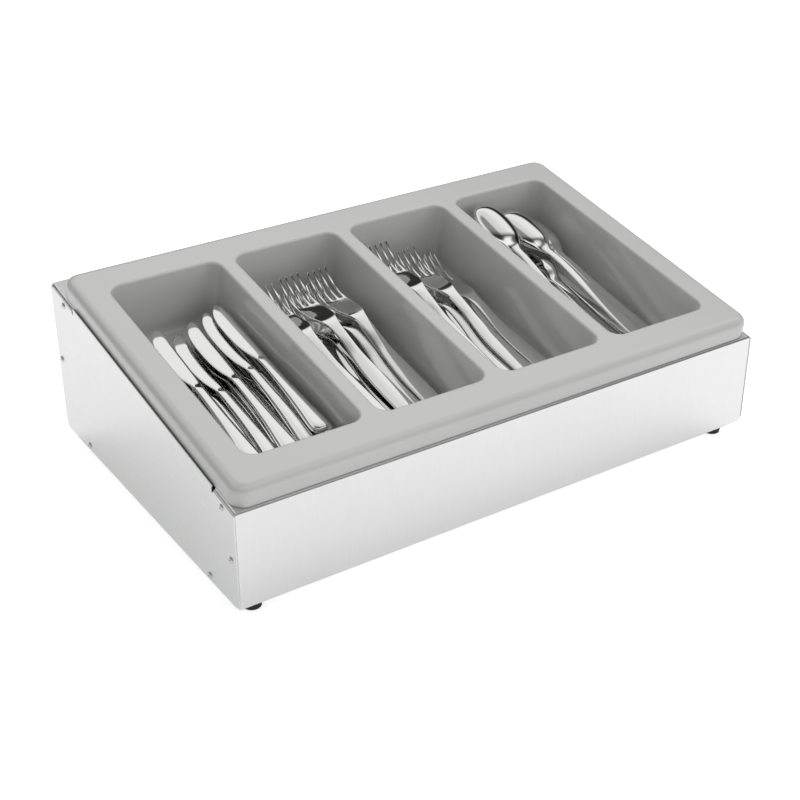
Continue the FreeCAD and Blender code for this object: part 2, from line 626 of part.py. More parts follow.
def pressed(outline, curve, thickness, width):
    """A blank of sheet metal, cut to an outline and pressed to a side view: its lower curve, from the handle's end."""
    count = len(curve)
    upper = []
    for index in range(count - 1, -1, -1):
        x, z = curve[index][:2]
        corner = (x, f"{z} + {thickness}")
        if index and len(curve[index - 1]) > 2:
            via_x, via_z = curve[index - 1][2]
            corner += ((via_x, f"{via_z} + {thickness}"),)
        upper.append(corner)
    blank = doc.addObject("Part::Common", "Pressed")
    blank.Base = extrusion(outline_sketch("XY", outline), Vector(0, 0, 1), f"({width}) * 4")
    blank.Tool = extrusion(outline_sketch("XZ", curve + upper), Vector(0, 1, 0), f"({width}) * 2")
    return blank


def fork(label, column, across, up_slope, above, turn, pitch=0, roll=0):
    """A table fork with its tines up: a wide handle, an arched neck and a dished head."""
    half, neck, head = "fork_handle / 2", "fork_neck / 2", "fork_head / 2"
    root, tip = "(fork_length - tine_length)", "fork_length"
    shoulder = f"({root} - fork_palm)"
    waist = f"({shoulder} - fork_shoulder)"
    flare = f"({shoulder} - fork_shoulder / 2)"
    swell, narrow = f"(fork_grip + {waist}) / 2 - fork_grip * 0.07", f"{waist} - fork_grip / 3"
    spacing = "((fork_head - tine_width) / (tine_count - 1))"
    count = int(number("tine_count"))
    outline = [
        (half, f"-{half}"), ("fork_grip", f"-{half}", (swell, "-fork_handle * 0.37")), (narrow, f"-{neck}"),
        (waist, f"-{neck}", (flare, "-fork_neck * 0.64")), (f"{shoulder} - fork_shoulder * 0.14", f"-{head} * 0.89"),
        (f"{shoulder} + fork_shoulder * 0.2", f"-{head}"), (root, f"-{head}")]
    for index in range(count):
        centre = f"(-{head} + tine_width / 2 + {index} * {spacing})"
        outline += [(f"{tip} - tine_tip", f"{centre} - tine_width * 0.3", (tip, centre)),
                    (f"{tip} - tine_tip", f"{centre} + tine_width * 0.3")]
        if index < count - 1:
            slot = f"({spacing} - tine_width) / 2"
            outline += [(f"{root} + {slot}", f"{centre} + tine_width / 2", (root, f"{centre} + {spacing} / 2")),
                        (f"{root} + {slot}", f"{centre} + {spacing} - tine_width / 2")]
    outline += [
        (root, head), (f"{shoulder} + fork_shoulder * 0.2", head),
        (f"{shoulder} - fork_shoulder * 0.14", f"{head} * 0.89", (flare, "fork_neck * 0.64")), (waist, neck),
        (narrow, neck, (swell, "fork_handle * 0.37")), ("fork_grip", half), (half, half, ("0", "0"))]
    apex, low = f"({waist} + fork_shoulder * 0.28)", f"({root} + tine_tip * 3)"
    rise, dip = f"({apex} - fork_grip)", f"({low} - {apex})"
    curve = [
        ("-1", "0"), ("fork_grip", "0", (f"fork_grip + {rise} * 0.37", "fork_arch * 0.18")),
        (f"fork_grip + {rise} * 0.73", "fork_arch * 0.725", (f"fork_grip + {rise} * 0.866", "fork_arch * 0.924")),
        (apex, "fork_arch", (f"{apex} + {dip} * 0.25", "fork_arch * 0.875")),
        (f"{apex} + {dip} * 0.5", "fork_arch * 0.5", (f"{apex} + {dip} * 0.75", "fork_arch * 0.125")),
        (low, "0", (f"({low} + {tip}) / 2", "tine_rise / 4")), (tip, "tine_rise")]
    blank = pressed(outline, curve, "fork_thickness", "fork_head")
    place_piece(blank, column, across, up_slope, above, turn, pitch, roll)
    return finish(blank, label)


def halfway_up(span, height):
    """The height, halfway along, of an arc that rises over a span and ends level at a height."""
    radius = f"(({span})^2 + {height}^2) / (2 * {height})"
    return f"{height} - {radius} + sqrt(({radius})^2 - (({span}) / 2)^2)"


def dome(start, crown, end, height):
    """A solid turned about the spoon's length, whose outline rises from a start to a crown and drops to an end."""
    axis = "((bowl_width / 2)^2 - bowl_height^2) / (2 * bowl_height)"
    section = outline_sketch("XZ", [
        (start, f"-{axis}"),
        (start, "0", (f"({start} + {crown}) / 2", halfway_up(f"({crown} - {start})", height))),
        (crown, height, (f"({crown} + {end}) / 2", halfway_up(f"({end} - {crown})", height))),
        (end, "0"), (end, f"-{axis}")])
    solid = doc.addObject("Part::Revolution", "Dome")
    solid.Source = section
    solid.Axis = Vector(1, 0, 0)
    solid.setExpression(".Base.z", sized(f"-{axis}"))
    solid.Solid = True
    return solid


def spoon(label, column, across, up_slope, above, turn, pitch=0, roll=0):
    """A table spoon with its bowl upside down: a thin dome with a level rim, and a handle that arches to it."""
    half, neck = "spoon_handle / 2", "spoon_neck / 2"
    rim, tip = "(spoon_length - bowl_length)", "spoon_length"
    grip = f"{rim} * 0.85"
    outline = [(half, f"-{half}", (f"{rim} * 0.45", f"-({half} + {neck}) / 2")), (grip, f"-{neck}"),
               (f"{rim} + bowl_wall * 2.5", f"-{neck}"), (f"{rim} + bowl_wall * 2.5", neck),
               (grip, neck, (f"{rim} * 0.45", f"({half} + {neck}) / 2")), (half, half, ("0", "0"))]
    curve = [("-1", "0"), (f"{rim} * 0.4", "0", (f"{rim} * 0.65", "spoon_arch * 0.4")),
             (grip, "spoon_arch"), (f"{rim} + bowl_wall * 3", "bowl_wall * 0.6")]
    handle = pressed(outline, curve, "spoon_thickness", "spoon_handle")
    crown, edge = f"({rim} + bowl_crown)", "bowl_wall * 1.3"
    upper = doc.addObject("Part::Box", "Upper")
    bind(upper, Length="spoon_length * 2", Width="bowl_width * 2", Height="bowl_height * 2")
    upper.setExpression(".Placement.Base.y", sized("-bowl_width"))
    cap = doc.addObject("Part::Common", "Cap")
    cap.Base, cap.Tool = dome(rim, crown, tip, "bowl_height"), upper
    blank = doc.addObject("Part::Fuse", "SpoonBlank")
    blank.Base, blank.Tool = handle, cap
    whole = doc.addObject("Part::Cut", "Spoon")
    whole.Base = blank
    whole.Tool = dome(f"({rim} + {edge})", crown, f"({tip} - {edge})", "(bowl_height - bowl_wall)")
    place_piece(whole, column, across, up_slope, above, turn, pitch, roll)
    return finish(whole, label)


# how the pieces lie: pocket, across, up the slope, layer of knives or height above the floor, turn, tilt, roll
KNIVES = {
    "knife_top_1": (0, -30.05, 25.7, 3, -2.2), "knife_top_2": (0, 3.95, 23.7, 3, -2),
    "knife_top_3": (0, 22.05, 25.9, 3, -1.25, 1.2), "knife_top_4": (0, 33.55, 28.3, 4.04, -1.3),
    "knife_lower_1": (0, 40.25, 31.5, 3, -1.3),
    "knife_lower_2": (0, -29.75, 29.5, 2, -1), "knife_lower_3": (0, -9.05, 21.3, 2, -1.5),
    "knife_lower_4": (0, 13.25, 29.5, 2, -1), "knife_lower_5": (0, 34.25, 31.5, 2, -1),
    "knife_lower_6": (0, -33.75, 27.5, 1, -1), "knife_lower_7": (0, -11.75, 25.5, 1, -1),
    "knife_lower_8": (0, 9.15, 39.5, 1, -1.5), "knife_lower_9": (0, 31.25, 29.5, 1, -0.5),
    "knife_lower_10": (0, -33.75, 35.5, 0, -1), "knife_lower_11": (0, -11.75, 25.5, 0, -1),
    "knife_lower_12": (0, 10.25, 31.5, 0, -1), "knife_lower_13": (0, 32.75, 29.5, 0, -0.5),
}
FORKS = {
    "fork_top_1": (1, -16.25, 23.5, 8.3, 6, 6), "fork_top_2": (1, 11.05, 26.2, 5.4, 6.2, 8),
    "fork_top_3": (1, 39.05, 25.4, 4, 5.7, 8),
    "fork_lower_1": (1, -26.25, 43.5, 0.4, 1), "fork_lower_2": (1, 1.75, 40.5, 0.4, 0),
    "fork_lower_3": (1, 29.75, 43.5, 0.5, -1), "fork_lower_4": (1, -14.25, 17.5, 1.6, 3, 3.5),
    "fork_lower_5": (1, -22.25, 10.5, 4.1, 5, 4.5), "fork_lower_6": (1, 5.75, 17.5, 1.2, 4, 5),
    "fork_lower_7": (1, 25.75, 19.5, 0.6, 4, 6.5),
    "fork_top_4": (2, -14.75, 37.5, 6.3, 4, 8), "fork_top_5": (2, 18.25, 27.5, 5.6, 5.7, 6),
    "fork_top_6": (2, 41.25, 23.5, 3.1, 5, 2.5),
    "fork_lower_8": (2, -24.75, 41.5, 0.4, 1), "fork_lower_9": (2, 2.25, 38.5, 0.4, 0),
    "fork_lower_10": (2, 29.25, 42.5, 0.4, -1), "fork_lower_11": (2, -20.75, 16.5, 2.4, 2, 3),
    "fork_lower_12": (2, 5.25, 17.5, 1.5, 3, 4.5),
}
SPOONS = {
    "spoon_top_1": (3, -16.25, 56.5, 4.1, 3, 14), "spoon_top_2": (3, 26.75, 48.5, 7, 7, 10),
    "spoon_top_3": (3, 40.75, 47.5, 3.5, 5, 7),
    "spoon_lower_1": (3, -21.25, 55.5, 0.7, 0, 1), "spoon_lower_2": (3, 26.75, 51.5, 0.8, 1),
    "spoon_lower_3": (3, 0.75, 23.5, 0.5, -3, 3.5),
}

front_panel()
back_panel()
side_panel(-1, "side_panel_left")
side_panel(1, "side_panel_right")
bottom_plate()
side_rivets(-1, "side_rivets_left")
side_rivets(1, "side_rivets_right")
for corner, x, y in foot_places():
    rubber_foot(corner, x, y)
foot_screws()
foot_nuts()
cutlery_tray()
for make, places in ((knife, KNIVES), (fork, FORKS), (spoon, SPOONS)):
    for label, place in places.items():
        make(label, *place)

doc.recompute()
for item in doc.Objects:
    if "Invalid" in item.State or "Error" in item.State:
        raise RuntimeError(f"{item.Label}: {item.State}")
for item in parts:
    if item.Shape.isNull() or not item.Shape.isValid():
        raise RuntimeError(f"{item.Label}: no valid shape")
os.makedirs("parts", exist_ok=True)
for item in parts:
    item.Shape.exportStep(f"parts/{item.Label}.step")
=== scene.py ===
"""Looks of a countertop cutlery dispenser: a folded steel stand, a moulded tray and polished cutlery."""
from math import atan2, cos, radians, sin

import bmesh
import bpy
from mathutils import Matrix, Vector


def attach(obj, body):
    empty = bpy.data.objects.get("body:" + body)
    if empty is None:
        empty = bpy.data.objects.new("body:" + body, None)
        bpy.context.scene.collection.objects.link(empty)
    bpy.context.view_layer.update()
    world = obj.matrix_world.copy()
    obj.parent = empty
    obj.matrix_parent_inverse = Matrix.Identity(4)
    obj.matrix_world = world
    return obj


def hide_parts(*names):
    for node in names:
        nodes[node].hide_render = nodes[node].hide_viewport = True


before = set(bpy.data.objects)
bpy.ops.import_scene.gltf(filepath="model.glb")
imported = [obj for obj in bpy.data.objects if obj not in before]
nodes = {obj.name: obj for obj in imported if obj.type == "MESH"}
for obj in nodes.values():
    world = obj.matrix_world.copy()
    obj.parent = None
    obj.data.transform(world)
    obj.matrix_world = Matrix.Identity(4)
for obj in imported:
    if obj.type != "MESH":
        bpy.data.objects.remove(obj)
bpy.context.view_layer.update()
scene = bpy.context.scene
scene.view_settings.view_transform = "Standard"
bpy.ops.object.select_all(action="DESELECT")


# ---------------------------------------------------------------- stand
# The front, the back and the floor are folded from thin stainless sheet, and a flat sheet riveted to them
# closes each end. The brushed grain runs up and down on the front and the back, and from front to back on the
# sides and the floor. Wiping leaves faint cloudy marks on it.
def connect(tree, *pairs):
    """Link the output to the input of each pair."""
    for source, target in pairs:
        tree.links.new(source, target)


def rescale(tree, low, high, from_low=0, from_high=1):
    """A node that spreads its value over a new range."""
    node = tree.nodes.new("ShaderNodeMapRange")
    node.inputs["From Min"].default_value = from_low
    node.inputs["From Max"].default_value = from_high
    node.inputs["To Min"].default_value = low
    node.inputs["To Max"].default_value = high
    return node


def two_tones(tree, first, second):
    """A node that mixes two colours."""
    mix = tree.nodes.new("ShaderNodeMix")
    mix.data_type = "RGBA"
    mix.inputs["A"].default_value = (*first, 1)
    mix.inputs["B"].default_value = (*second, 1)
    return mix


def finish_for(name):
    """A new material, its node tree, its surface and the texture coordinates that its pattern reads."""
    material = bpy.data.materials.new(name)
    material.use_nodes = True
    tree = material.node_tree
    return material, tree, tree.nodes["Principled BSDF"], tree.nodes.new("ShaderNodeTexCoord")


sheet_grain = bpy.data.node_groups.new("sheet grain", "ShaderNodeTree")
sheet_grain.interface.new_socket("Vector", in_out="INPUT", socket_type="NodeSocketVector")
for name in ("Fineness", "Relief", "Cloud Size"):
    sheet_grain.interface.new_socket(name, in_out="INPUT", socket_type="NodeSocketFloat")
for name in ("Streaks", "Clouds"):
    sheet_grain.interface.new_socket(name, in_out="OUTPUT", socket_type="NodeSocketFloat")
sheet_grain.interface.new_socket("Normal", in_out="OUTPUT", socket_type="NodeSocketVector")
grain_in = sheet_grain.nodes.new("NodeGroupInput")
grain_out = sheet_grain.nodes.new("NodeGroupOutput")
streaks = sheet_grain.nodes.new("ShaderNodeTexNoise")
streaks.inputs["Detail"].default_value = 4
streaks.inputs["Roughness"].default_value = 0.65
clouds = sheet_grain.nodes.new("ShaderNodeTexNoise")
clouds.inputs["Detail"].default_value = 3
relief = sheet_grain.nodes.new("ShaderNodeBump")
relief.inputs["Distance"].default_value = 0.0002
connect(
    sheet_grain,
    (grain_in.outputs["Vector"], streaks.inputs["Vector"]),
    (grain_in.outputs["Fineness"], streaks.inputs["Scale"]),
    (grain_in.outputs["Vector"], clouds.inputs["Vector"]),
    (grain_in.outputs["Cloud Size"], clouds.inputs["Scale"]),
    (streaks.outputs["Fac"], relief.inputs["Height"]),
    (grain_in.outputs["Relief"], relief.inputs["Strength"]),
    (streaks.outputs["Fac"], grain_out.inputs["Streaks"]),
    (clouds.outputs["Fac"], grain_out.inputs["Clouds"]),
    (relief.outputs["Normal"], grain_out.inputs["Normal"]))


def brushed_sheet(name, stretch, bright, dull, roughness):
    """Brushed stainless, whose grain is drawn out along the axis with the smallest stretch."""
    material, tree, surface, place = finish_for(name)
    surface.inputs["Metallic"].default_value = 1
    drawn_out = tree.nodes.new("ShaderNodeMapping")
    drawn_out.inputs["Scale"].default_value = stretch
    grain = tree.nodes.new("ShaderNodeGroup")
    grain.node_tree = sheet_grain
    grain.inputs["Fineness"].default_value = 90
    grain.inputs["Cloud Size"].default_value = 0.5
    grain.inputs["Relief"].default_value = 0.05
    contrast = rescale(tree, 0, 1, from_low=0.25, from_high=0.75)
    tint = two_tones(tree, dull, bright)
    polish = rescale(tree, *roughness)
    connect(
        tree,
        (place.outputs["Object"], drawn_out.inputs["Vector"]),
        (drawn_out.outputs["Vector"], grain.inputs["Vector"]),
        (grain.outputs["Streaks"], contrast.inputs["Value"]),
        (contrast.outputs["Result"], tint.inputs["Factor"]),
        (tint.outputs["Result"], surface.inputs["Base Color"]),
        (grain.outputs["Clouds"], polish.inputs["Value"]),
        (polish.outputs["Result"], surface.inputs["Roughness"]),
        (grain.outputs["Normal"], surface.inputs["Normal"]))
    return material


front_steel = brushed_sheet(
    "front steel", stretch=(14, 14, 0.6), bright=(0.83, 0.83, 0.83), dull=(0.79, 0.79, 0.79),
    roughness=(0.26, 0.40))
side_steel = brushed_sheet(
    "side steel", stretch=(14, 0.6, 14), bright=(0.84, 0.85, 0.84), dull=(0.74, 0.75, 0.74),
    roughness=(0.28, 0.42))
for name in ("front_panel", "back_panel"):
    nodes[name].material_slots[0].material = front_steel
for name in ("side_panel_left", "side_panel_right", "bottom_plate"):
    nodes[name].material_slots[0].material = side_steel

# ---------------------------------------------------------------- rivets and foot screws
# Blind rivets of plain aluminium hold the side panels to the front, the back and the floor. The screws and
# nuts that hold the feet are zinc plated. All of it is dull metal with a finely mottled skin.
fastener_metal, tree, surface, place = finish_for("fastener metal")
surface.inputs["Metallic"].default_value = 1
mottle = tree.nodes.new("ShaderNodeTexNoise")
mottle.inputs["Scale"].default_value = 900
tint = two_tones(tree, (0.58, 0.58, 0.59), (0.78, 0.78, 0.79))
wear = rescale(tree, 0.35, 0.50)
connect(
    tree,
    (place.outputs["Object"], mottle.inputs["Vector"]),
    (mottle.outputs["Fac"], tint.inputs["Factor"]),
    (tint.outputs["Result"], surface.inputs["Base Color"]),
    (mottle.outputs["Fac"], wear.inputs["Value"]),
    (wear.outputs["Result"], surface.inputs["Roughness"]))
for name in ("side_rivets_left", "side_rivets_right", "foot_screws", "foot_nuts"):
    nodes[name].material_slots[0].material = fastener_metal

# ---------------------------------------------------------------- feet
# A foot under each corner of the stand, moulded from black rubber in one piece and held by a screw. Its
# skin is slightly grainy and scuffed a little paler in spots.
foot_rubber, tree, surface, place = finish_for("foot rubber")
pores = tree.nodes.new("ShaderNodeTexNoise")
pores.inputs["Scale"].default_value = 1400
pores.inputs["Detail"].default_value = 4
scuffs = two_tones(tree, (0.008, 0.008, 0.008), (0.030, 0.029, 0.028))
dullness = rescale(tree, 0.55, 0.85)
pitting = tree.nodes.new("ShaderNodeBump")
pitting.inputs["Strength"].default_value = 0.3
pitting.inputs["Distance"].default_value = 0.0002
connect(
    tree,
    (place.outputs["Object"], pores.inputs["Vector"]),
    (pores.outputs["Fac"], scuffs.inputs["Factor"]),
    (scuffs.outputs["Result"], surface.inputs["Base Color"]),
    (pores.outputs["Fac"], dullness.inputs["Value"]),
    (dullness.outputs["Result"], surface.inputs["Roughness"]),
    (pores.outputs["Fac"], pitting.inputs["Height"]),
    (pitting.outputs["Normal"], surface.inputs["Normal"]))
for end in ("front", "back"):
    for side in ("left", "right"):
        nodes[f"rubber_foot_{end}_{side}"].material_slots[0].material = foot_rubber

# ---------------------------------------------------------------- tray
# One moulding of light grey plastic with four drafted pockets, which hangs in the stand by its hollow rim
# and lifts out for washing. Its satin skin is finely pebbled, a little uneven in tone and shines softly.
tray_plastic, tree, surface, place = finish_for("tray plastic")
surface.inputs["IOR"].default_value = 1.49
surface.inputs["Coat Weight"].default_value = 0.6
surface.inputs["Coat Roughness"].default_value = 0.1
blotches = tree.nodes.new("ShaderNodeTexNoise")
blotches.inputs["Scale"].default_value = 9
blotches.inputs["Detail"].default_value = 3
pebble = tree.nodes.new("ShaderNodeTexNoise")
pebble.inputs["Scale"].default_value = 1100
pebble.inputs["Detail"].default_value = 2
tint = two_tones(tree, (0.515, 0.518, 0.510), (0.560, 0.563, 0.553))
gloss = rescale(tree, 0.24, 0.36)
skin = tree.nodes.new("ShaderNodeBump")
skin.inputs["Strength"].default_value = 0.06
skin.inputs["Distance"].default_value = 0.0002
connect(
    tree,
    (place.outputs["Object"], blotches.inputs["Vector"]),
    (place.outputs["Object"], pebble.inputs["Vector"]),
    (blotches.outputs["Fac"], tint.inputs["Factor"]),
    (tint.outputs["Result"], surface.inputs["Base Color"]),
    (blotches.outputs["Fac"], gloss.inputs["Value"]),
    (gloss.outputs["Result"], surface.inputs["Roughness"]),
    (pebble.outputs["Fac"], skin.inputs["Height"]),
    (skin.outputs["Normal"], surface.inputs["Normal"]))
nodes["cutlery_tray"].material_slots[0].material = tray_plastic

# ---------------------------------------------------------------- knives
# Table knives, each forged from one bar of stainless and mirror polished: a round-edged handle that narrows
# to a small collar, and a curved blade with a straight back. They lie loose in layers, all to the same hand.
cutlery_steel, tree, surface, place = finish_for("cutlery steel")
surface.inputs["Metallic"].default_value = 1
marks = tree.nodes.new("ShaderNodeTexNoise")
marks.inputs["Scale"].default_value = 60
marks.inputs["Detail"].default_value = 5
tint = two_tones(tree, (0.76, 0.76, 0.75), (0.80, 0.80, 0.79))
haze = rescale(tree, 0.03, 0.09)
connect(
    tree,
    (place.outputs["Object"], marks.inputs["Vector"]),
    (marks.outputs["Fac"], tint.inputs["Factor"]),
    (tint.outputs["Result"], surface.inputs["Base Color"]),
    (marks.outputs["Fac"], haze.inputs["Value"]),
    (haze.outputs["Result"], surface.inputs["Roughness"]))

# all sizes of the cutlery and the pockets are in millimetres
MILLIMETRE = 0.001
STAND_DEPTH, FRONT_HEIGHT, BACK_HEIGHT, FOOT_HEIGHT = 342, 90, 148, 12.5
SLOPE = atan2(BACK_HEIGHT - FRONT_HEIGHT, STAND_DEPTH)
# the pockets' front ends and floors, up the slope and square to it from the top of the stand's front edge
POCKET_COUNT, POCKET_PITCH, POCKET_FRONT, POCKET_FLOOR = 4, 122.5, 36.5, -43.5
KNIFE_THICKNESS, KNIFE_GAP = 7.5, 0.3
LAYER = KNIFE_THICKNESS + KNIFE_GAP
# the share of a knife's section that each of its corners takes to go round
ROUND_CORNER = 0.3

bpy.ops.mesh.primitive_plane_add(size=1, location=(0, 0, 0), rotation=(0, radians(90), 0))
knife = bpy.context.object
knife.name = "knife blank"
bpy.ops.object.transform_apply(rotation=True)
bpy.ops.object.mode_set(mode="EDIT")
bpy.ops.mesh.select_all(action="SELECT")
bpy.ops.mesh.bevel(offset=ROUND_CORNER, segments=3, affect="VERTICES")
# along the knife, its back edge, its cutting edge and its thickness
KNIFE_SECTIONS = (
    (0, -1.0, 1.0, 1.8), (0.5, -3.8, 3.8, 4.2), (1.9, -6.2, 6.2, 6.0), (4.4, -7.8, 7.8, 7.0),
    (9, -8.5, 8.5, 7.4), (20, -7.6, 7.6, 7.5), (35, -6.35, 6.35, 7.4), (50, -5.4, 5.4, 7.0),
    (70, -4.5, 4.5, 6.2), (88, -4.0, 4.0, 5.2), (100, -3.8, 3.8, 4.5), (105, -3.9, 3.9, 4.1),
    (107.5, -4.0, 4.0, 3.6), (109.5, -4.0, 4.1, 2.6), (112.5, -4.0, 4.8, 2.0), (119, -4.0, 7.5, 1.8),
    (128, -4.0, 9.7, 1.8), (138, -4.0, 11.1, 1.8), (152, -4.0, 11.9, 1.8), (166, -4.0, 12.0, 1.75),
    (178, -4.0, 10.9, 1.7), (187, -3.9, 8.5, 1.6), (193, -3.4, 5.6, 1.5), (196.6, -2.2, 3.0, 1.2),
    (198, -0.8, 0.9, 0.7))
# the section before: where it is, its middle, its width and its thickness
before = (0, 0, 1, 1)
for x, back, edge, thickness in KNIFE_SECTIONS:
    if x:
        bpy.ops.mesh.extrude_region_move(TRANSFORM_OT_translate={"value": (x - before[0], 0, 0)})
    middle, width = (back + edge) / 2, edge - back
    growth = (1, width / before[2], thickness / before[3])
    bpy.ops.transform.resize(value=growth, center_override=(x, before[1], 0))
    bpy.ops.transform.translate(value=(0, middle - before[1], 0))
    before = (x, middle, width, thickness)
bpy.ops.mesh.select_all(action="SELECT")
bpy.ops.mesh.normals_make_consistent(inside=False)
bpy.ops.object.mode_set(mode="OBJECT")
roundness = knife.modifiers.new("roundness", "SUBSURF")
roundness.levels = roundness.render_levels = 2
bpy.ops.object.modifier_apply(modifier=roundness.name)
bpy.ops.object.shade_smooth()
knife.data.materials.append(cutlery_steel)


def lay(blank, node, body, pocket, across, up_slope, above, turn, tilt=0):
    """A copy of a blank, laid in a pocket: turned and tilted about its handle's end, in degrees."""
    front_edge = (0, -STAND_DEPTH / 2 * MILLIMETRE, (FOOT_HEIGHT + FRONT_HEIGHT) * MILLIMETRE)
    top = Matrix.Translation(front_edge) @ Matrix.Rotation(SLOPE, 4, "X") @ Matrix.Scale(MILLIMETRE, 4)
    pocket_middle = (pocket - (POCKET_COUNT - 1) / 2) * POCKET_PITCH
    place = Matrix.Translation((pocket_middle + across, POCKET_FRONT + up_slope, POCKET_FLOOR + above))
    swing = Matrix.Rotation(radians(90 + turn), 4, "Z") @ Matrix.Rotation(radians(-tilt), 4, "Y")
    piece = bpy.data.objects.new(node + "_steel", blank.data.copy())
    scene.collection.objects.link(piece)
    piece.data.transform(top @ place @ swing)
    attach(piece, body)
    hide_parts(node)


KNIFE_POCKET = 0
# across the pocket from its middle, up the slope, layer, turn and, where it has one, tilt
KNIVES = {
    "knife_top_1": (-30.05, 25.7, 3, -2.2), "knife_top_2": (3.95, 23.7, 3, -2),
    "knife_top_3": (22.05, 25.9, 3, -1.25, 1.2), "knife_top_4": (33.55, 28.3, 4.04, -1.3),
    "knife_lower_1": (40.25, 31.5, 3, -1.3),
    "knife_lower_2": (-29.75, 29.5, 2, -1), "knife_lower_3": (-9.05, 21.3, 2, -1.5),
    "knife_lower_4": (13.25, 29.5, 2, -1), "knife_lower_5": (34.25, 31.5, 2, -1),
    "knife_lower_6": (-33.75, 27.5, 1, -1), "knife_lower_7": (-11.75, 25.5, 1, -1),
    "knife_lower_8": (9.15, 39.5, 1, -1.5), "knife_lower_9": (31.25, 29.5, 1, -0.5),
    "knife_lower_10": (-33.75, 35.5, 0, -1), "knife_lower_11": (-11.75, 25.5, 0, -1),
    "knife_lower_12": (10.25, 31.5, 0, -1), "knife_lower_13": (32.75, 29.5, 0, -0.5),
}
for node, (across, up_slope, layer, *turns) in KNIVES.items():
    body = node if "top" in node else "knives_lower"
    above = KNIFE_GAP + KNIFE_THICKNESS / 2 + layer * LAYER
    lay(knife, node, body, KNIFE_POCKET, across, up_slope, above, *turns)
bpy.data.objects.remove(knife)

# ---------------------------------------------------------------- forks
# Table forks stamped from thick stainless sheet and pressed to shape: a wide handle with a softly crowned
# face, an arched neck, a dished head and four slim tines that curve up. Their edges are rounded and polished.
FORK_SHEET, TINE_ROOTS = 2.3, 171
# how firmly a pressed edge keeps its corner, from 0 to 1
EDGE_CREASE = 0.6


def pressed_sheet(name, rows, columns, crowns, thickness, slots_from=None):
    """A blank whose rows give x, half width, height and crown, and whose columns give shares of them."""
    bpy.ops.object.select_all(action="DESELECT")
    last_row, last_column = len(rows) - 1, len(columns) - 1
    bpy.ops.mesh.primitive_grid_add(x_subdivisions=last_row, y_subdivisions=last_column, size=2)
    sheet = bpy.context.object
    sheet.name = name
    bpy.ops.object.mode_set(mode="EDIT")
    mesh = bmesh.from_edit_mesh(sheet.data)
    grid = {}
    for vertex in mesh.verts:
        row, column = (vertex.co.x + 1) / 2 * last_row, (vertex.co.y + 1) / 2 * last_column
        grid[round(row), round(column)] = vertex

    def take(chosen):
        bpy.ops.mesh.select_all(action="DESELECT")
        for vertex in chosen:
            vertex.select = True
        mesh.select_flush_mode()

    for column, share in enumerate(columns):
        take([grid[row, column] for row in range(len(rows))])
        bpy.ops.transform.translate(value=(0, share - (column / last_column * 2 - 1), 0))
    for row, (x, half_width, height, crown) in enumerate(rows):
        at = row / last_row * 2 - 1
        take([grid[row, column] for column in range(len(columns))])
        bpy.ops.transform.resize(value=(1, half_width, 1), center_override=(at, 0, 0))
        bpy.ops.transform.translate(value=(x - at, 0, height))
        for share in sorted(set(crowns)):
            if share and crown:
                take([grid[row, column] for column in range(len(columns)) if crowns[column] == share])
                bpy.ops.transform.translate(value=(0, 0, crown * share))
    if slots_from is not None:
        bpy.ops.mesh.select_all(action="DESELECT")
        bpy.ops.mesh.select_mode(type="FACE")
        first_slot = next(row for row in range(last_row) if rows[row][0] >= slots_from)
        for row in range(first_slot, last_row):
            for column in range(1, last_column, 2):
                corners = {grid[row + end, column + side] for end in (0, 1) for side in (0, 1)}
                face = next(face for face in grid[row, column].link_faces if corners == set(face.verts))
                face.select = True
        bpy.ops.mesh.delete(type="FACE")
    bpy.ops.object.mode_set(mode="OBJECT")
    plate = sheet.modifiers.new("plate", "SOLIDIFY")
    plate.thickness, plate.offset = thickness, 0
    plate.edge_crease_inner = plate.edge_crease_outer = EDGE_CREASE
    softness = sheet.modifiers.new("softness", "SUBSURF")
    softness.levels = softness.render_levels = 2
    for step in (plate.name, softness.name):
        bpy.ops.object.modifier_apply(modifier=step)
    bpy.ops.object.shade_smooth()
    sheet.data.materials.append(cutlery_steel)
    return sheet


# along the fork, its half width, its height at the middle of the sheet and the crown of its face
FORK_ROWS = (
    (0, 1.6, 1.25, 0), (0.7, 4.4, 1.25, 0.1), (2.4, 6.7, 1.25, 0.3), (5.2, 8.1, 1.25, 0.4),
    (9, 8.6, 1.25, 0.5), (30, 8.6, 1.25, 0.5), (58, 8.5, 1.25, 0.5), (75, 7.7, 2.0, 0.4),
    (88.5, 6.4, 3.1, 0.3), (98, 5.5, 4.6, 0.3), (106, 5.1, 6.3, 0.3), (118, 5.0, 8.9, 0.3),
    (126, 5.1, 10.0, 0.3), (132, 5.6, 10.6, 0.1), (137, 7.0, 10.6, 0), (141, 8.8, 10.2, -0.2),
    (145, 10.5, 9.3, -0.4), (149.5, 11.5, 8.0, -0.5), (156, 11.8, 6.0, -0.6), (163, 11.8, 3.9, -0.6),
    (168, 11.7, 2.6, -0.5), (TINE_ROOTS, 11.6, 2.0, -0.4), (177, 11.5, 1.4, -0.3), (183, 11.4, 1.9, -0.2),
    (190, 11.3, 4.0, 0), (197, 11.1, 7.5, 0), (202.5, 10.9, 11.1, 0), (205, 10.8, 13.0, 0))
# the edges of the four tines as shares of the half width, and how much of the crown each has
TINE_EDGES = (-1, -0.82, -0.4, -0.22, 0.22, 0.4, 0.82, 1)
FORK_CROWNS = (0, 0.45, 0.85, 1, 1, 0.85, 0.45, 0)
fork = pressed_sheet("fork blank", FORK_ROWS, TINE_EDGES, FORK_CROWNS, FORK_SHEET, slots_from=TINE_ROOTS)
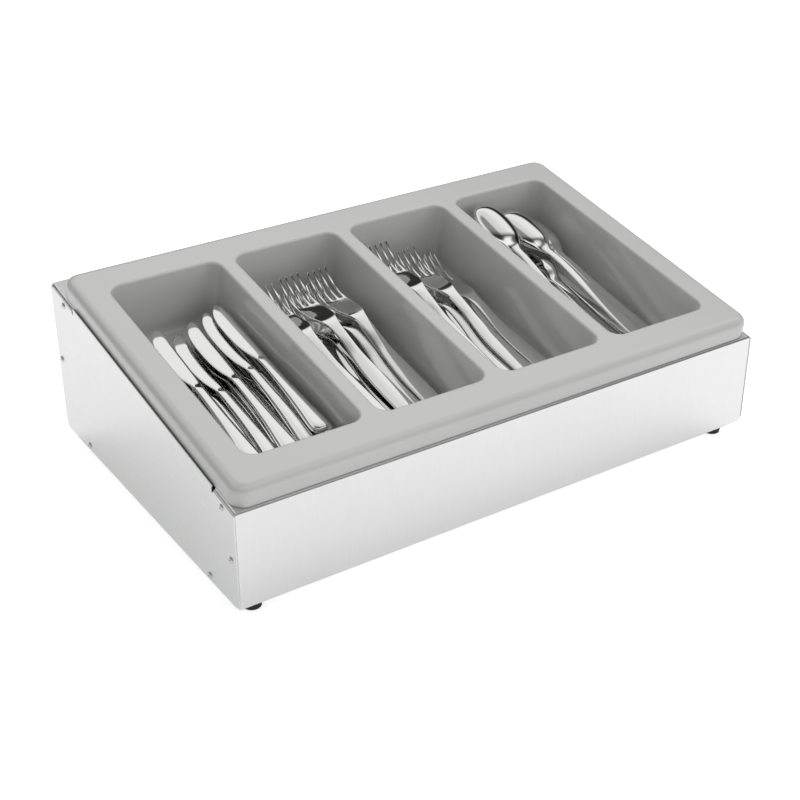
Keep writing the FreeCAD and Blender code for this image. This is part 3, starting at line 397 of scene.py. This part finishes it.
# pocket, across it from its middle, up the slope, height above its floor, turn and, where it has one, tilt
FORKS = {
    "fork_top_1": (1, -16.25, 23.5, 8.3, 6, 6), "fork_top_2": (1, 11.05, 26.2, 5.4, 6.2, 8),
    "fork_top_3": (1, 39.05, 25.4, 4, 5.7, 8),
    "fork_lower_1": (1, -26.25, 43.5, 0.4, 1), "fork_lower_2": (1, 1.75, 40.5, 0.4, 0),
    "fork_lower_3": (1, 29.75, 43.5, 0.5, -1), "fork_lower_4": (1, -14.25, 17.5, 1.6, 3, 3.5),
    "fork_lower_5": (1, -22.25, 10.5, 4.1, 5, 4.5), "fork_lower_6": (1, 5.75, 17.5, 1.2, 4, 5),
    "fork_lower_7": (1, 25.75, 19.5, 0.6, 4, 6.5),
    "fork_top_4": (2, -14.75, 37.5, 6.3, 4, 8), "fork_top_5": (2, 18.25, 27.5, 5.6, 5.7, 6),
    "fork_top_6": (2, 41.25, 23.5, 3.1, 5, 2.5),
    "fork_lower_8": (2, -24.75, 41.5, 0.4, 1), "fork_lower_9": (2, 2.25, 38.5, 0.4, 0),
    "fork_lower_10": (2, 29.25, 42.5, 0.4, -1), "fork_lower_11": (2, -20.75, 16.5, 2.4, 2, 3),
    "fork_lower_12": (2, 5.25, 17.5, 1.5, 3, 4.5),
}
FORK_LOTS = {1: "forks_lower_left", 2: "forks_lower_right"}
for node, (pocket, *lie) in FORKS.items():
    lay(fork, node, node if "top" in node else FORK_LOTS[pocket], pocket, *lie)
bpy.data.objects.remove(fork)

# ---------------------------------------------------------------- spoons
# Table spoons of the same set, pressed from stainless sheet and mirror polished: an arched handle and an
# oval bowl with a rather flat crown. They lie on their rims with the crown up, three of them like shingles.
SPOON_SHEET = 1.8
# along the spoon, its half width, its height at the rim and the crown of its face
SPOON_ROWS = (
    (0, 1.5, 1.2, 0), (0.7, 4.1, 1.2, 0.1), (2.4, 6.3, 1.2, 0.3), (5, 7.6, 1.2, 0.4), (8.5, 8.1, 1.2, 0.5),
    (28, 7.6, 1.2, 0.5), (50, 6.4, 1.3, 0.5), (72, 5.1, 1.8, 0.4), (92, 4.2, 2.9, 0.3), (110, 3.6, 4.0, 0.3),
    (124, 3.5, 3.8, 0.3), (130, 4, 2.9, 0.5), (135.5, 6.5, 2, 1.2), (140.5, 10.6, 1.2, 3.6),
    (146, 14.2, 0.9, 6), (153, 16.5, 0.9, 6.9), (162, 17.4, 0.9, 7.1), (170, 17.3, 0.9, 7.1),
    (178, 16.1, 0.9, 6.9), (185, 13.7, 0.9, 6.2), (190, 10.4, 1, 5), (193.2, 6.6, 1.1, 3),
    (195.2, 3.3, 1.2, 0.7))
# shares of the half width, and how much of the crown each has
SPOON_COLUMNS = (-1, -0.95, -0.76, -0.28, 0.28, 0.76, 0.95, 1)
SPOON_CROWNS = (0, 0.45, 0.84, 1, 1, 0.84, 0.45, 0)
spoon = pressed_sheet("spoon blank", SPOON_ROWS, SPOON_COLUMNS, SPOON_CROWNS, SPOON_SHEET)
SPOON_POCKET = 3
# across the pocket from its middle, up the slope, height above its floor, turn and, where it has one, tilt
SPOONS = {
    "spoon_top_1": (-16.25, 56.5, 4.1, 3, 14), "spoon_top_2": (26.75, 48.5, 7, 7, 10),
    "spoon_top_3": (40.75, 47.5, 3.5, 5, 7),
    "spoon_lower_1": (-21.25, 55.5, 0.7, 0, 1), "spoon_lower_2": (26.75, 51.5, 0.8, 1),
    "spoon_lower_3": (0.75, 23.5, 0.5, -3, 3.5),
}
for node, lie in SPOONS.items():
    lay(spoon, node, node if "top" in node else "spoons_lower", SPOON_POCKET, *lie)
bpy.data.objects.remove(spoon)

# ---------------------------------------------------------------- floor, light and camera
# A white studio: a matt floor that keeps the shadow and glows a little, a surround that is white to the
# camera and shaded in reflections, one soft lamp above and to the right, and a camera that looks down at the
# front and the left side.
FLOOR_SIZE, FLOOR_SEEN, FLOOR_MIRRORED = 12, 0.6, 0.26
bpy.ops.mesh.primitive_plane_add(size=FLOOR_SIZE, location=(0, 0, 0))
floor = bpy.context.object
floor.name = "floor"
floor_white = bpy.data.materials.new("floor white")
floor_white.use_nodes = True
tree = floor_white.node_tree
surface = tree.nodes["Principled BSDF"]
surface.inputs["Base Color"].default_value = (0.9, 0.9, 0.9, 1)
surface.inputs["Roughness"].default_value = 1
surface.inputs["Specular IOR Level"].default_value = 0
glow = tree.nodes.new("ShaderNodeEmission")
seen = tree.nodes.new("ShaderNodeLightPath")
for_glossy = tree.nodes.new("ShaderNodeMix")
for_glossy.inputs["A"].default_value = 0
for_glossy.inputs["B"].default_value = FLOOR_MIRRORED
for_camera = tree.nodes.new("ShaderNodeMix")
for_camera.inputs["B"].default_value = FLOOR_SEEN
both = tree.nodes.new("ShaderNodeAddShader")
connect(
    tree,
    (seen.outputs["Is Glossy Ray"], for_glossy.inputs["Factor"]),
    (for_glossy.outputs["Result"], for_camera.inputs["A"]),
    (seen.outputs["Is Camera Ray"], for_camera.inputs["Factor"]),
    (for_camera.outputs["Result"], glow.inputs["Strength"]),
    (surface.outputs["BSDF"], both.inputs[0]),
    (glow.outputs["Emission"], both.inputs[1]),
    (both.outputs["Shader"], tree.nodes["Material Output"].inputs["Surface"]))
floor.data.materials.append(floor_white)


def grey_ramp(tree, *stops):
    """A ramp of greys: each stop gives a height, from 0 at the horizon to 1 overhead, and a tone."""
    ramp = tree.nodes.new("ShaderNodeValToRGB")
    elements = ramp.color_ramp.elements
    for number, (height, tone) in enumerate(stops):
        stop = elements[number] if number < 2 else elements.new(height)
        stop.position = height
        stop.color = (tone, tone, tone, 1)
    return ramp


world = bpy.data.worlds.new("surround")
world.use_nodes = True
scene.world = world
tree = world.node_tree
sky = tree.nodes["Background"]
sky.inputs["Color"].default_value = (1, 1, 1, 1)
direction = tree.nodes.new("ShaderNodeTexCoord")
parts = tree.nodes.new("ShaderNodeSeparateXYZ")
# the light it sheds is strongest from the horizon, weaker from overhead and weakest from the upper left
dome = rescale(tree, 2.55, 0.93)
from_right = tree.nodes.new("ShaderNodeVectorMath")
from_right.operation = "DOT_PRODUCT"
from_right.inputs[1].default_value = (0.75, 0.1, -0.35)
side = rescale(tree, 0.26, 0.66, from_low=-0.8, from_high=-0.1)
shaped = tree.nodes.new("ShaderNodeMath")
shaped.operation = "MULTIPLY"
# polished steel mirrors a bright wall above and behind, fainter in front, and dark below it
window = grey_ramp(tree, (0.59, 0.03), (0.65, 1), (0.76, 1), (0.85, 0.82), (0.91, 0.80), (0.95, 0.3))
behind = rescale(tree, 0.14, 1, from_low=-0.12, from_high=0.06)
wall = tree.nodes.new("ShaderNodeMath")
wall.operation = "MULTIPLY"
# and in front one pale band, high up
band = grey_ramp(tree, (0.70, 0), (0.76, 1), (0.84, 1), (0.90, 0))
front = rescale(tree, 1, 0, from_low=-0.30, from_high=-0.12)
strip = tree.nodes.new("ShaderNodeMath")
strip.operation = "MULTIPLY_ADD"
# the camera sees it plain white
seen = tree.nodes.new("ShaderNodeLightPath")
for_glossy = tree.nodes.new("ShaderNodeMix")
for_camera = tree.nodes.new("ShaderNodeMix")
for_camera.inputs["B"].default_value = 1
connect(
    tree,
    (direction.outputs["Generated"], parts.inputs["Vector"]),
    (direction.outputs["Generated"], from_right.inputs[0]),
    (parts.outputs["Z"], dome.inputs["Value"]),
    (from_right.outputs["Value"], side.inputs["Value"]),
    (dome.outputs["Result"], shaped.inputs[0]),
    (side.outputs["Result"], shaped.inputs[1]),
    (parts.outputs["Z"], window.inputs["Fac"]),
    (parts.outputs["Y"], behind.inputs["Value"]),
    (window.outputs["Color"], wall.inputs[0]),
    (behind.outputs["Result"], wall.inputs[1]),
    (parts.outputs["Z"], band.inputs["Fac"]),
    (parts.outputs["Y"], front.inputs["Value"]),
    (band.outputs["Color"], strip.inputs[0]),
    (front.outputs["Result"], strip.inputs[1]),
    (wall.outputs["Value"], strip.inputs[2]),
    (shaped.outputs["Value"], for_glossy.inputs["A"]),
    (strip.outputs["Value"], for_glossy.inputs["B"]),
    (seen.outputs["Is Glossy Ray"], for_glossy.inputs["Factor"]),
    (for_glossy.outputs["Result"], for_camera.inputs["A"]),
    (seen.outputs["Is Camera Ray"], for_camera.inputs["Factor"]),
    (for_camera.outputs["Result"], sky.inputs["Strength"]))

LAMP_PLACE, LAMP_AIM = Vector((0.9, 0.6, 1.9)), Vector((0, 0, 0.1))
bpy.ops.object.light_add(type="AREA", location=LAMP_PLACE)
lamp = bpy.context.object
lamp.name = "key lamp"
lamp.data.size = 1.2
lamp.data.energy = 12
lamp.rotation_euler = (LAMP_AIM - LAMP_PLACE).to_track_quat("-Z", "Y").to_euler()
lamp.visible_glossy = False

CAMERA_TURN, CAMERA_TILT = radians(-33.34), radians(29.54)
CAMERA_PLACE = (-0.68257, -1.02851, 0.73690)
bpy.ops.object.camera_add(location=CAMERA_PLACE)
camera = bpy.context.object
level = cos(CAMERA_TILT)
towards = Vector((-sin(CAMERA_TURN) * level, cos(CAMERA_TURN) * level, -sin(CAMERA_TILT)))
camera.rotation_euler = towards.to_track_quat("-Z", "Y").to_euler()
camera.data.sensor_width = 36
camera.data.lens = 68.28
scene.camera = camera
